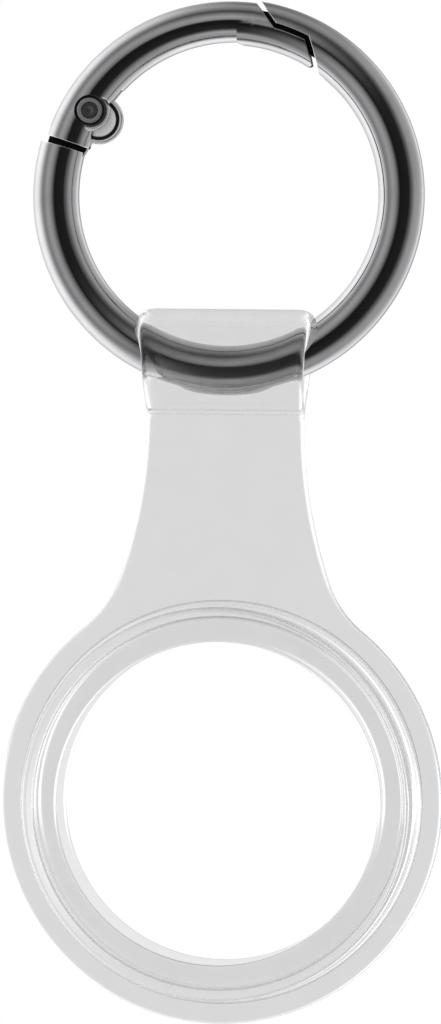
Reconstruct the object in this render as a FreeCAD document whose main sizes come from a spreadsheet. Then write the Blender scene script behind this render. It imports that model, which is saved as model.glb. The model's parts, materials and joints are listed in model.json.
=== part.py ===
import FreeCAD, Part
import math
import os
from types import SimpleNamespace

import Sketcher

# Driving sizes in millimetres and degrees
SIZES = {
    # Sprung ring of round wire, centred on the origin, with its axis along Y
    "ring_radius": 15.0,
    "wire_radius": 2.0,
    "hinge_angle": 164.2,
    "hinge_gap": 0.55,
    # Rivet that the gate turns on, a little inside the middle of the wire
    "pivot_inset": 1.06,
    "pivot_angle": 149.1,
    "rivet_radius": 0.75,
    "rivet_head_radius": 1.1,
    "rivet_head_height": 0.34,
    "rivet_head_edge": 0.12,
    "rivet_groove_radius": 0.68,
    "rivet_groove_width": 0.14,
    "rivet_groove_depth": 0.08,
    "rivet_dimple_radius": 0.36,
    "rivet_dimple_depth": 0.2,
    "rivet_running_clearance": 0.04,
    "rivet_seat_clearance": 0.01,
    # Nose joint: a hook on the fixed wire over a ledge on the gate
    "nose_gap": 0.45,
    "nose_tip_angle": 80.6,
    "nose_root_angle": 72.9,
    "nose_end_angle": 63.8,
    "nose_ledge_inset": 0.1,
    "nose_tip_round": 0.35,
    # Tab in the middle of the gate's nose, in a groove of the hook, which keeps the gate in line
    "tab_thickness": 0.8,
    "tab_outset": 1.2,
    "tab_inset": 1.0,
    "tab_overlap": 0.25,
    "tab_clearance": 0.12,
    # Hinge tongue of the fixed wire, with the rounded cam that shows inside the gate
    "tongue_thickness": 1.2,
    "tongue_eye_wall": 0.56,
    "tongue_inner_inset": 1.7,
    "tongue_outer_outset": 0.6,
    "tongue_root_depth": 1.2,
    "tongue_shoulder_outset": 1.35,
    "tongue_shoulder_depth": 0.6,
    "cam_radius": 2.12,
    "cam_offset": 0.96,
    "cam_angle": 47.0,
    "cam_thickness": 1.08,
    "cam_edge": 0.5,
    "finger_length": 1.8,
    "finger_radius": 0.6,
    # Gate: a round bar that tapers from the heel to a waist, with a fuller nose
    "gate_spine_inset": 0.1,
    "heel_centre_inset": 0.35,
    "waist_centre_outset": 0.1,
    "waist_thinning": 0.28,
    "waist_end_angle": 70.0,
    "nose_block_inset": 0.22,
    "nose_block_thinning": 0.23,
    "nose_block_rise": 0.22,
    "nose_block_slope": 0.7,
    "nose_block_start_angle": 87.3,
    "nose_block_end_angle": 50.0,
    "knuckle_wall": 0.95,
    "knuckle_face_inset": 0.22,
    "knuckle_edge": 0.45,
    "spot_face_margin": 0.2,
    "spot_face_inset": 0.28,
    "slot_clearance": 0.15,
    "slot_end_clearance": 0.4,
    "slot_wall": 0.95,
    # Leaf spring inside the gate
    "leaf_thickness": 0.25,
    "leaf_width": 1.2,
    "leaf_contact_gap": 0.05,
    "leaf_free_angle": 144.5,
    "leaf_fixed_angle": 112.5,
    "leaf_grip_angle": 121.0,
    "leaf_play": 0.15,
    "leaf_seat_clearance": 0.02,
    # Tag, rim that grips it with a lip on each side, and flange
    "tag_radius": 15.95,
    "tag_below_ring": 35.45,
    "pocket_clearance": 0.15,
    "pocket_depth": 6.0,
    "pocket_corner_radius": 1.6,
    "rim_wall": 1.0,
    "rim_shoulder_radius": 1.2,
    "rim_root_radius": 0.4,
    "lip_thickness": 0.9,
    "lip_reach": 2.2,
    "lip_edge_radius": 0.3,
    "flange_width": 2.05,
    # Soft strap: neck and loop round the wire
    "strap_width": 13.6,
    "strap_thickness": 2.0,
    "strap_edge_radius": 0.5,
    "neck_sweep_radius": 43.0,
    "shoulder_radius": 9.0,
    "crease_below_ring": 1.9,
    "loop_overlap": 0.3,
    "loop_wall": 1.05,
    "loop_clearance": 0.2,
    "loop_flare": 0.7,
    "loop_waist_flare": 0.25,
    "loop_flare_rise": 2.55,
    "loop_waist_fall": 0.25,
    "loop_corner_radius": 0.8,
    "loop_mouth_bevel": 0.65,
    # How far every cut runs past the solid
    "overrun": 1.0,
}
FULL_TURN = 360

doc = FreeCAD.newDocument("TagHolder")
sheet = doc.addObject("Spreadsheet::Sheet", "Sizes")
for row, (alias, number) in enumerate(SIZES.items(), start=1):
    sheet.set(f"A{row}", alias.replace("_", " "))
    sheet.set(f"B{row}", str(number))
    sheet.setAlias(f"B{row}", alias)
doc.recompute()

# Every size as the text of an expression: L for lengths, A for angles
L = SimpleNamespace(**{alias: f"Sizes.{alias}" for alias in SIZES})
A = SimpleNamespace(**{alias: f"(Sizes.{alias} * 1 deg)" for alias in SIZES})


def value(expression):
    """The number that an expression of the sizes gives."""
    result = sheet.evalExpression(expression.replace("Sizes.", ""))
    return float(getattr(result, "Value", result))


def polar(radius, angle):
    """Expressions of the point at a radius and an angle."""
    return f"({radius}) * cos({angle})", f"({radius}) * sin({angle})"


def bind(thing, **expressions):
    """Ties properties to expressions of the sizes."""
    for name, expression in expressions.items():
        thing.setExpression(name, expression)


def new_body(label, **place):
    """An empty body, placed by expressions for its x, y and z."""
    body = doc.addObject("PartDesign::Body", label)
    body.Label = label
    for axis, expression in place.items():
        body.setExpression(f"Placement.Base.{axis}", expression)
    return body


def new_sketch(body, role, name, turn=None, **offset):
    """A sketch on one of the body's own planes, shifted, or turned about its vertical axis."""
    sketch = body.newObject("Sketcher::SketchObject", name)
    plane = next(item for item in body.Origin.OriginFeatures if item.Role == role)
    sketch.AttachmentSupport = (plane, [""])
    sketch.MapMode = "FlatFace"
    if turn:
        axis = FreeCAD.Vector(0, -1, 0)
        sketch.AttachmentOffset = FreeCAD.Placement(
            FreeCAD.Vector(), FreeCAD.Rotation(axis, value(turn))
        )
        sketch.setExpression("AttachmentOffset.Rotation.Angle", turn)
    for axis, expression in offset.items():
        sketch.setExpression(f"AttachmentOffset.Base.{axis}", expression)
    return sketch


def size_constraint(sketch, constraint, expression):
    """Adds a sizing constraint tied to an expression."""
    index = sketch.addConstraint(constraint)
    sketch.setExpression(f"Constraints[{index}]", expression)


def pin(sketch, geometry, position, x, y):
    """Ties a point of the sketch to two expressions for its place."""
    for kind, axis, expression in (("DistanceX", -2, x), ("DistanceY", -1, y)):
        number = value(expression)
        if math.isclose(number, 0, abs_tol=Part.Precision.confusion()):
            sketch.addConstraint(Sketcher.Constraint("PointOnObject", geometry, position, axis))
        elif number > 0:
            constraint = Sketcher.Constraint(kind, -1, 1, geometry, position, number)
            size_constraint(sketch, constraint, expression)
        else:
            constraint = Sketcher.Constraint(kind, geometry, position, -1, 1, -number)
            size_constraint(sketch, constraint, f"-({expression})")


def arc_between(start, end, radius, turn):
    """The arc from start to end that bends left (turn 1) or right (turn -1)."""
    chord = end - start
    left = FreeCAD.Vector(-chord.y, chord.x, 0).normalize()
    height = math.sqrt(max(radius**2 - (chord.Length / 2) ** 2, 0))
    centre = (start + end) / 2 + left * height * turn
    first, last = (start, end) if turn > 0 else (end, start)
    angles = [math.atan2(p.y - centre.y, p.x - centre.x) for p in (first, last)]
    if angles[1] < angles[0]:
        angles[1] += math.tau
    circle = Part.Circle(centre, FreeCAD.Vector(0, 0, 1), radius)
    return Part.ArcOfCircle(circle, *angles)


def outline(sketch, corners, closed=True):
    """Lines and arcs through pinned corners; a corner is x, y and, before an arc, radius and turn."""
    points = [FreeCAD.Vector(value(x), value(y), 0) for x, y, *bend in corners]
    count = len(corners) if closed else len(corners) - 1
    ends = []
    for index in range(count):
        x, y, *bend = corners[index]
        start = points[index]
        end = points[(index + 1) % len(points)]
        if bend:
            radius, turn = bend
            geometry = sketch.addGeometry(arc_between(start, end, value(radius), turn))
            size_constraint(
                sketch, Sketcher.Constraint("Radius", geometry, value(radius)), radius
            )
            ends.append((geometry, 1, 2) if turn > 0 else (geometry, 2, 1))
        else:
            ends.append((sketch.addGeometry(Part.LineSegment(start, end)), 1, 2))
        pin(sketch, ends[index][0], ends[index][1], x, y)
    joints = zip(ends, ends[1:] + ends[:1]) if closed else zip(ends, ends[1:])
    for before, after in joints:
        sketch.addConstraint(
            Sketcher.Constraint("Coincident", before[0], before[2], after[0], after[1])
        )
    if not closed:
        x, y, *bend = corners[-1]
        pin(sketch, ends[-1][0], ends[-1][2], x, y)


def circle(sketch, x, y, radius):
    """A circle with a pinned centre."""
    centre = FreeCAD.Vector(value(x), value(y), 0)
    shape = Part.Circle(centre, FreeCAD.Vector(0, 0, 1), value(radius))
    geometry = sketch.addGeometry(shape)
    pin(sketch, geometry, 3, x, y)
    size_constraint(sketch, Sketcher.Constraint("Radius", geometry, value(radius)), radius)


def extrude(body, kind, sketch, length):
    """A Pad or Pocket to both sides of the sketch's plane, over a total length."""
    feature = body.newObject(f"PartDesign::{kind}", sketch.Name + kind)
    feature.Profile = sketch
    feature.SideType = "Symmetric"
    bind(feature, Length=length)
    doc.recompute()
    return feature


def revolve(body, kind, sketch, axis="V_Axis", span=None):
    """A full turn of the sketch about one of its axes, or a span to both sides of its plane."""
    feature = body.newObject(f"PartDesign::{kind}", sketch.Name + kind)
    feature.Profile = sketch
    feature.ReferenceAxis = (sketch, [axis])
    if span:
        feature.Midplane = True
        bind(feature, Angle=span)
    else:
        feature.Angle = FULL_TURN
    doc.recompute()
    return feature


def fillet(body, feature, chosen, radius):
    """Rounds the edges of a feature that a test chooses."""
    edges = [
        f"Edge{number}"
        for number, edge in enumerate(feature.Shape.Edges, start=1)
        if chosen(edge)
    ]
    rounded = body.newObject("PartDesign::Fillet", feature.Name + "Rounded")
    rounded.Base = (feature, edges)
    bind(rounded, Radius=radius)
    doc.recompute()
    return rounded


def mirrored(corners, axis):
    """The same run of corners and arcs, backwards, with x or y turned round."""
    turned = []
    for here, before in zip(corners[::-1], corners[-2::-1] + [()]):
        x, y = here[:2]
        place = (f"-({x})", y) if axis == "x" else (x, f"-({y})")
        turned.append((*place, *before[2:]))
    return turned


# Places that several pieces share
ring_outer = f"({L.ring_radius} + {L.wire_radius})"
ring_inner = f"({L.ring_radius} - {L.wire_radius})"
cut_outer = f"({ring_outer} + {L.overrun})"
cut_inner = f"({ring_inner} - {L.overrun})"
pivot_radius = f"({L.ring_radius} - {L.pivot_inset})"
pivot_x, pivot_z = polar(pivot_radius, A.pivot_angle)
heel_angle = f"({A.hinge_angle} - {L.hinge_gap} / {L.ring_radius} * 1 rad)"
eye_hole = f"({L.rivet_radius} + {L.rivet_running_clearance})"
eye_radius = f"({eye_hole} + {L.tongue_eye_wall})"
knuckle_radius = f"({L.rivet_radius} + {L.knuckle_wall})"
rivet_seat = f"({L.wire_radius} - {L.spot_face_inset})"
finger_tip = f"sqrt({pivot_radius}^2 + {L.finger_length}^2)"
leaf_inner = f"({finger_tip} + {L.finger_radius} + {L.leaf_contact_gap})"
leaf_outer = f"({leaf_inner} + {L.leaf_thickness})"
slot_width = f"({L.tongue_thickness} + 2 * {L.slot_clearance})"
slot_outer = f"({ring_outer} - {L.slot_wall})"
slot_depth = f"({L.finger_length} + {L.finger_radius} + {L.slot_end_clearance} + {L.slot_clearance})"
nose_ledge = f"({L.ring_radius} - {L.nose_ledge_inset})"
tab_outer = f"({L.ring_radius} + {L.tab_outset})"
tab_inner = f"({L.ring_radius} - {L.tab_inset})"
shoulder_end = f"({heel_angle} - {L.tongue_shoulder_depth} / {L.ring_radius} * 1 rad)"


def beside_pivot(along, across):
    """The point at a distance along the gate from the pivot, and at one across it, outwards."""
    x = f"{pivot_x} + {along} * sin({A.pivot_angle}) + {across} * cos({A.pivot_angle})"
    z = f"{pivot_z} - {along} * cos({A.pivot_angle}) + {across} * sin({A.pivot_angle})"
    return x, z


def pivot_distance(radius, angle):
    """Distance from the pivot to the point at a radius and an angle."""
    turn = f"cos({A.pivot_angle} - {angle})"
    return f"sqrt({radius}^2 + {pivot_radius}^2 - 2 * {radius} * {pivot_radius} * {turn})"


def swing_angle(radius, reach):
    """Angle at which a circle about the ring's centre meets a circle about the pivot."""
    cosine = f"({radius}^2 + {pivot_radius}^2 - {reach}^2) / (2 * {radius} * {pivot_radius})"
    return f"({A.pivot_angle} - acos({cosine}))"


def nose_profile(gap, outer, inner):
    """Corners of the nose's stepped face at a gap from the gate's, from an outer to an inner radius."""
    ledge = f"({nose_ledge} + {gap})"
    reach = f"({pivot_distance(nose_ledge, A.nose_end_angle)} + {gap})"
    slant = f"({A.nose_tip_angle} - {A.nose_root_angle}) / ({ring_outer} - {nose_ledge})"
    shift = f"({L.nose_gap} - {gap}) / {L.ring_radius} * 1 rad"
    top = f"({A.nose_tip_angle} + {shift} + {slant} * ({outer} - {ring_outer}))"
    root = f"({A.nose_root_angle} + {shift} + {slant} * {gap})"
    return [
        polar(outer, top),
        (*polar(ledge, root), ledge, -1),
        (*polar(ledge, swing_angle(ledge, reach)), reach, -1),
        polar(inner, swing_angle(inner, reach)),
    ]


def draw_button(sketch, radius, face, edge):
    """Half section of a round button, flat on both sides, with a rounded rim."""
    rounded = f"{radius} - {edge}"
    flat = f"({face} - {edge})"
    outline(
        sketch,
        [
            ("0", f"-{face}"),
            (rounded, f"-{face}", edge, 1),
            (radius, f"-{flat}"),
            (radius, flat, edge, 1),
            (rounded, face),
            ("0", face),
        ],
    )


def make_ring_body():
    """Fixed wire of the ring with its hook, hinge tongue and rivet hole."""
    body = new_body("ring_body")
    section = new_sketch(body, "XY_Plane", "wire_section")
    circle(section, L.ring_radius, "0", L.wire_radius)
    revolve(body, "Revolution", section)

    window = new_sketch(body, "XZ_Plane", "gate_window")
    *hook, inner_end = nose_profile(L.nose_gap, cut_outer, cut_inner)
    outline(
        window,
        [
            (*polar(cut_outer, A.hinge_angle), cut_outer, -1),
            *hook,
            (*inner_end, cut_inner, 1),
            polar(cut_inner, A.hinge_angle),
        ],
    )
    extrude(body, "Pocket", window, f"2 * ({L.wire_radius} + {L.overrun})")

    groove = new_sketch(body, "XZ_Plane", "tab_groove")
    groove_gap = f"({L.nose_gap} + {L.tab_overlap} + {L.tab_clearance})"
    groove_outer = f"({tab_outer} + {L.tab_clearance})"
    outline(
        groove,
        [
            *nose_profile(groove_gap, groove_outer, cut_inner),
            polar(cut_inner, A.nose_block_start_angle),
            (*polar(groove_outer, A.nose_block_start_angle), groove_outer, -1),
        ],
    )
    extrude(body, "Pocket", groove, f"{L.tab_thickness} + 2 * {L.tab_clearance}")

    root_angle = f"({A.hinge_angle} + {L.tongue_root_depth} / {L.ring_radius} * 1 rad)"
    tongue_inner = f"({L.ring_radius} - {L.tongue_inner_inset})"
    neck = new_sketch(body, "XZ_Plane", "tongue_neck")
    outline(
        neck,
        [
            polar(tongue_inner, root_angle),
            polar(f"{pivot_radius} - {eye_radius}", A.pivot_angle),
            polar(f"{pivot_radius} + {eye_radius}", A.pivot_angle),
            polar(f"{L.ring_radius} + {L.tongue_outer_outset}", root_angle),
        ],
    )
    extrude(body, "Pad", neck, L.tongue_thickness)

    shoulder = new_sketch(body, "XZ_Plane", "tongue_shoulder")
    shoulder_outer = f"({L.ring_radius} + {L.tongue_shoulder_outset})"
    outline(
        shoulder,
        [
            polar(tongue_inner, root_angle),
            polar(tongue_inner, shoulder_end),
            (*polar(shoulder_outer, shoulder_end), shoulder_outer, 1),
            polar(shoulder_outer, root_angle),
        ],
    )
    extrude(body, "Pad", shoulder, L.tongue_thickness)

    eye = new_sketch(body, "XZ_Plane", "tongue_eye")
    circle(eye, pivot_x, pivot_z, eye_radius)
    extrude(body, "Pad", eye, L.tongue_thickness)

    cam_x = f"{pivot_x} + {L.cam_offset} * cos({A.cam_angle})"
    cam_z = f"{pivot_z} - {L.cam_offset} * sin({A.cam_angle})"
    cam = new_sketch(body, "XY_Plane", "tongue_cam", x=cam_x, z=cam_z)
    draw_button(cam, L.cam_radius, f"({L.cam_thickness} / 2)", L.cam_edge)
    revolve(body, "Revolution", cam)

    finger = new_sketch(body, "XZ_Plane", "tongue_finger")
    outline(
        finger,
        [
            beside_pivot("0", f"-{L.finger_radius}"),
            beside_pivot("0", L.finger_radius),
            (*beside_pivot(L.finger_length, L.finger_radius), L.finger_radius, -1),
            (*beside_pivot(f"({L.finger_length} + {L.finger_radius})", "0"), L.finger_radius, -1),
            beside_pivot(L.finger_length, f"-{L.finger_radius}"),
        ],
    )
    extrude(body, "Pad", finger, L.tongue_thickness)

    hole = new_sketch(body, "XZ_Plane", "rivet_hole")
    circle(hole, pivot_x, pivot_z, eye_hole)
    extrude(body, "Pocket", hole, f"{L.tongue_thickness} + 2 * {L.overrun}")
    return body


def make_gate():
    """Forked gate with a stepped nose, a tongue slot and a channel for the leaf spring."""
    body = new_body("gate")
    spine_radius = f"({L.ring_radius} - {L.gate_spine_inset})"
    spine = new_sketch(body, "XZ_Plane", "gate_spine")
    outline(
        spine,
        [
            (*polar(spine_radius, heel_angle), spine_radius, -1),
            polar(spine_radius, A.waist_end_angle),
        ],
        closed=False,
    )
    heel = new_sketch(body, "XY_Plane", "heel_section", turn=heel_angle)
    circle(heel, f"{L.ring_radius} - {L.heel_centre_inset}", "0", L.wire_radius)
    waist = new_sketch(body, "XY_Plane", "waist_section", turn=A.waist_end_angle)
    circle(
        waist,
        f"{L.ring_radius} + {L.waist_centre_outset}",
        "0",
        f"{L.wire_radius} - {L.waist_thinning}",
    )
    bar = body.newObject("PartDesign::AdditivePipe", "gate_bar")
    bar.Profile = heel
    bar.Spine = (spine, ["Edge1"])
    bar.Sections = [waist]
    bar.Transformation = "Multisection"
    doc.recompute()

    middle = f"(({A.nose_block_start_angle} + {A.nose_block_end_angle}) / 2)"
    block = new_sketch(body, "XY_Plane", "nose_block_section", turn=middle)
    circle(
        block,
        f"{L.ring_radius} - {L.nose_block_inset}",
        "0",
        f"{L.wire_radius} - {L.nose_block_thinning}",
    )
    span = f"{A.nose_block_start_angle} - {A.nose_block_end_angle}"
    revolve(body, "Revolution", block, span=span)

    slope = new_sketch(body, "XZ_Plane", "nose_block_slope")
    block_inner = f"({ring_inner} - {L.nose_block_inset} + {L.nose_block_thinning})"
    slope_top = f"({A.nose_block_start_angle} + {L.overrun} / {L.ring_radius} * 1 rad)"
    slope_end = f"({A.nose_block_start_angle} - {L.nose_block_slope} / {L.ring_radius} * 1 rad)"
    outline(
        slope,
        [
            polar(f"{block_inner} + {L.nose_block_rise}", A.nose_block_start_angle),
            polar(block_inner, slope_end),
            polar(cut_inner, slope_end),
            polar(cut_inner, slope_top),
        ],
    )
    extrude(body, "Pocket", slope, f"2 * ({L.wire_radius} + {L.overrun})")

    knuckle = new_sketch(body, "XY_Plane", "knuckle_section", x=pivot_x, z=pivot_z)
    face = f"({L.wire_radius} - {L.knuckle_face_inset})"
    draw_button(knuckle, knuckle_radius, face, L.knuckle_edge)
    revolve(body, "Revolution", knuckle)

    nose = new_sketch(body, "XZ_Plane", "nose_cut")
    round_start = f"({block_inner} + {L.nose_tip_round})"
    *hook, tip = nose_profile("0", cut_outer, round_start)
    end_reach = pivot_distance(nose_ledge, A.nose_end_angle)
    round_end = f"({swing_angle(round_start, end_reach)} + {L.nose_tip_round} / {round_start} * 1 rad)"
    past_nose = f"({A.nose_block_end_angle} - {L.overrun} / {L.ring_radius} * 1 rad)"
    outline(
        nose,
        [
            *hook,
            (*tip, L.nose_tip_round, -1),
            polar(block_inner, round_end),
            polar(cut_inner, round_end),
            polar(cut_inner, past_nose),
            (*polar(cut_outer, past_nose), cut_outer, 1),
        ],
    )
    extrude(body, "Pocket", nose, f"2 * ({L.wire_radius} + {L.overrun})")

    tab = new_sketch(body, "XZ_Plane", "nose_tab")
    *tab_face, tab_end = nose_profile(f"({L.nose_gap} + {L.tab_overlap})", tab_outer, tab_inner)
    outline(
        tab,
        [
            *tab_face,
            (*tab_end, tab_inner, 1),
            polar(tab_inner, A.nose_block_start_angle),
            (*polar(tab_outer, A.nose_block_start_angle), tab_outer, -1),
        ],
    )
    extrude(body, "Pad", tab, L.tab_thickness)

    slot = new_sketch(body, "XZ_Plane", "tongue_slot")
    slot_inner = f"({pivot_radius} - {knuckle_radius} - {L.overrun})"
    past_heel = f"({A.hinge_angle} + {L.overrun} / {L.ring_radius} * 1 rad)"
    slot_end = f"({A.pivot_angle} - asin({slot_depth} / {slot_outer}))"
    outline(
        slot,
        [
            (*polar(slot_outer, slot_end), slot_outer, 1),
            polar(slot_outer, past_heel),
            polar(slot_inner, past_heel),
            polar(
                f"sqrt({slot_inner}^2 + {slot_depth}^2)",
                f"({A.pivot_angle} - atan({slot_depth} / {slot_inner}))",
            ),
        ],
    )
    extrude(body, "Pocket", slot, slot_width)

    relief = new_sketch(body, "XZ_Plane", "shoulder_relief")
    relief_end = f"({shoulder_end} - {L.slot_clearance} / {L.ring_radius} * 1 rad)"
    outline(
        relief,
        [
            polar(pivot_radius, relief_end),
            polar(cut_outer, relief_end),
            polar(cut_outer, past_heel),
            polar(pivot_radius, past_heel),
        ],
    )
    extrude(body, "Pocket", relief, slot_width)

    channel = new_sketch(body, "XZ_Plane", "leaf_channel")
    channel_inner = f"({leaf_inner} - {L.leaf_play})"
    in_slot = f"({slot_end} + {L.leaf_play} / {L.ring_radius} * 1 rad)"
    outline(
        channel,
        [
            (*polar(channel_inner, in_slot), channel_inner, -1),
            polar(channel_inner, A.leaf_grip_angle),
            (*polar(slot_outer, A.leaf_grip_angle), slot_outer, 1),
            polar(slot_outer, in_slot),
        ],
    )
    extrude(body, "Pocket", channel, slot_width)

    grip = new_sketch(body, "XZ_Plane", "leaf_grip")
    grip_inner = f"({leaf_inner} - {L.leaf_seat_clearance})"
    grip_outer = f"({leaf_outer} + {L.leaf_seat_clearance})"
    grip_end = f"({A.leaf_fixed_angle} - {L.leaf_seat_clearance} / {L.ring_radius} * 1 rad)"
    in_channel = f"({A.leaf_grip_angle} + {L.leaf_play} / {L.ring_radius} * 1 rad)"
    outline(
        grip,
        [
            (*polar(grip_inner, in_channel), grip_inner, -1),
            polar(grip_inner, grip_end),
            (*polar(grip_outer, grip_end), grip_outer, 1),
            polar(grip_outer, in_channel),
        ],
    )
    extrude(body, "Pocket", grip, f"{L.leaf_width} + 2 * {L.leaf_seat_clearance}")

    bore = new_sketch(body, "XY_Plane", "rivet_bore", x=pivot_x, z=pivot_z)
    bore_radius = f"{L.rivet_radius} + {L.rivet_seat_clearance}"
    past_face = f"{L.wire_radius} + {L.overrun}"
    spot_face = f"{L.rivet_head_radius} + {L.spot_face_margin}"
    outline(
        bore,
        [
            ("0", f"-({past_face})"),
            (spot_face, f"-({past_face})"),
            (spot_face, f"-{rivet_seat}"),
            (bore_radius, f"-{rivet_seat}"),
            (bore_radius, rivet_seat),
            (spot_face, rivet_seat),
            (spot_face, past_face),
            ("0", past_face),
        ],
    )
    revolve(body, "Groove", bore)
    return body


def make_hinge_rivet():
    """Rivet with a grooved and dimpled head peened over each cheek of the gate."""
    body = new_body("hinge_rivet", x=pivot_x, z=pivot_z)
    section = new_sketch(body, "XY_Plane", "rivet_section")
    face = f"{rivet_seat} + {L.rivet_head_height}"
    groove = f"{L.rivet_groove_width} / 2"
    head = [
        ("0", f"{face} - {L.rivet_dimple_depth}"),
        (L.rivet_dimple_radius, face),
        (f"{L.rivet_groove_radius} - {groove}", face),
        (L.rivet_groove_radius, f"{face} - {L.rivet_groove_depth}"),
        (f"{L.rivet_groove_radius} + {groove}", face),
        (f"{L.rivet_head_radius} - {L.rivet_head_edge}", face, L.rivet_head_edge, -1),
        (L.rivet_head_radius, f"{face} - {L.rivet_head_edge}"),
        (L.rivet_head_radius, rivet_seat),
        (L.rivet_radius, rivet_seat),
    ]
    outline(section, head + mirrored(head, "y"))
    revolve(body, "Revolution", section)
    return body


def make_gate_spring():
    """Curved leaf, gripped in the gate at one end and resting by the tongue's finger at the other."""
    body = new_body("gate_spring")
    leaf = new_sketch(body, "XZ_Plane", "leaf")
    outline(
        leaf,
        [
            (*polar(leaf_inner, A.leaf_free_angle), leaf_inner, -1),
            polar(leaf_inner, A.leaf_fixed_angle),
            (*polar(leaf_outer, A.leaf_fixed_angle), leaf_outer, 1),
            polar(leaf_outer, A.leaf_free_angle),
        ],
    )
    extrude(body, "Pad", leaf, L.leaf_width)
    return body


# Rim that grips the tag, and the loop, whose bore clears the wire at every angle of swing
tag_drop = f"({ring_outer} + {L.tag_below_ring})"
pocket_radius = f"({L.tag_radius} + {L.pocket_clearance})"
rim_radius = f"({pocket_radius} + {L.rim_wall})"
flange_radius = f"({rim_radius} + {L.flange_width})"
rim_middle = f"({pocket_radius} + {L.rim_wall} / 2)"
strap_half = f"({L.strap_width} / 2)"
strap_face = f"({L.strap_thickness} / 2)"
wire_top_drop = f"sqrt({ring_inner}^2 - {strap_half}^2)"
loop_drop = f"(({ring_outer} + {wire_top_drop}) / 2)"
loop_bore = f"(({ring_outer} - {wire_top_drop}) / 2 + {L.loop_clearance})"
loop_outside = f"({loop_bore} + {L.loop_wall})"
loop_height = f"({tag_drop} - {loop_drop})"
crease_height = f"({L.tag_below_ring} - {L.crease_below_ring})"
plate_top = f"({crease_height} + {L.loop_overlap})"
crease_below = f"({loop_height} - {crease_height})"
crease_span = f"sqrt({strap_face}^2 + {crease_below}^2)"
flank_angle = f"(asin({loop_outside} / {crease_span}) - atan({strap_face} / {crease_below}))"


def draw_plate(sketch):
    """Neck and flange outline: two swept sides that run into the flange circle, round an open middle."""
    half = value(strap_half)
    top = value(plate_top)
    sweep = value(L.neck_sweep_radius)
    shoulder = value(L.shoulder_radius)
    flange = value(flange_radius)
    big = FreeCAD.Vector(half + sweep, top, 0)
    apart = flange + shoulder
    cosine = (apart**2 + big.Length**2 - (sweep - shoulder) ** 2) / (2 * apart * big.Length)
    bearing = math.atan2(big.y, big.x) + math.acos(cosine)
    outward = FreeCAD.Vector(math.cos(bearing), math.sin(bearing), 0)
    small = outward * apart
    inward = (small - big).normalize()

    def flip(point):
        return FreeCAD.Vector(-point.x, point.y, 0)

    corner = FreeCAD.Vector(half, top, 0)
    meet = big + inward * sweep
    foot = outward * flange
    bottom = FreeCAD.Vector(0, -flange, 0)

    def arc(start, centre, end):
        middle = centre + ((start + end) / 2 - centre).normalize() * (start - centre).Length
        return Part.Arc(start, middle, end)

    line, right_sweep, right_shoulder, flange_arc, left_shoulder, left_sweep = sketch.addGeometry(
        [
            Part.LineSegment(flip(corner), corner),
            arc(corner, big, meet),
            arc(meet, small, foot),
            Part.Arc(flip(foot), bottom, foot),
            arc(flip(foot), flip(small), flip(meet)),
            arc(flip(meet), flip(big), flip(corner)),
        ]
    )
    for kind, *places in (
        ("Coincident", line, 2, right_sweep, 1),
        ("Tangent", right_sweep, 2, right_shoulder, 1),
        ("Tangent", right_shoulder, 2, flange_arc, 2),
        ("Tangent", flange_arc, 1, left_shoulder, 1),
        ("Tangent", left_shoulder, 2, left_sweep, 1),
        ("Coincident", left_sweep, 2, line, 1),
        ("Coincident", flange_arc, 3, -1, 1),
        ("Symmetric", line, 1, line, 2, -2),
        ("Horizontal", right_sweep, 1, right_sweep, 3),
        ("Horizontal", left_sweep, 2, left_sweep, 3),
        ("Equal", left_sweep, right_sweep),
        ("Equal", left_shoulder, right_shoulder),
    ):
        sketch.addConstraint(Sketcher.Constraint(kind, *places))
    for constraint, expression in (
        (Sketcher.Constraint("Radius", right_sweep, sweep), L.neck_sweep_radius),
        (Sketcher.Constraint("Radius", right_shoulder, shoulder), L.shoulder_radius),
        (Sketcher.Constraint("Radius", flange_arc, flange), flange_radius),
        (Sketcher.Constraint("DistanceX", line, 1, line, 2, 2 * half), L.strap_width),
        (Sketcher.Constraint("DistanceY", -1, 1, line, 1, top), plate_top),
    ):
        size_constraint(sketch, constraint, expression)
    circle(sketch, "0", "0", rim_middle)


def draw_teardrop(sketch, radius, foot_half, foot_height):
    """A round top about the loop's axis whose straight sides run down to a foot."""
    tangent_y = f"({radius}) * cos({flank_angle})"
    tangent_z = f"{loop_height} - ({radius}) * sin({flank_angle})"
    top = f"{loop_height} + {radius}"
    right = [
        (foot_half, foot_height),
        (tangent_y, tangent_z, radius, 1),
        ("0", top, radius, 1),
        (f"-({tangent_y})", tangent_z),
    ]
    if foot_half != "0":
        right.append((f"-({foot_half})", foot_height))
    outline(sketch, right)


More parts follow.
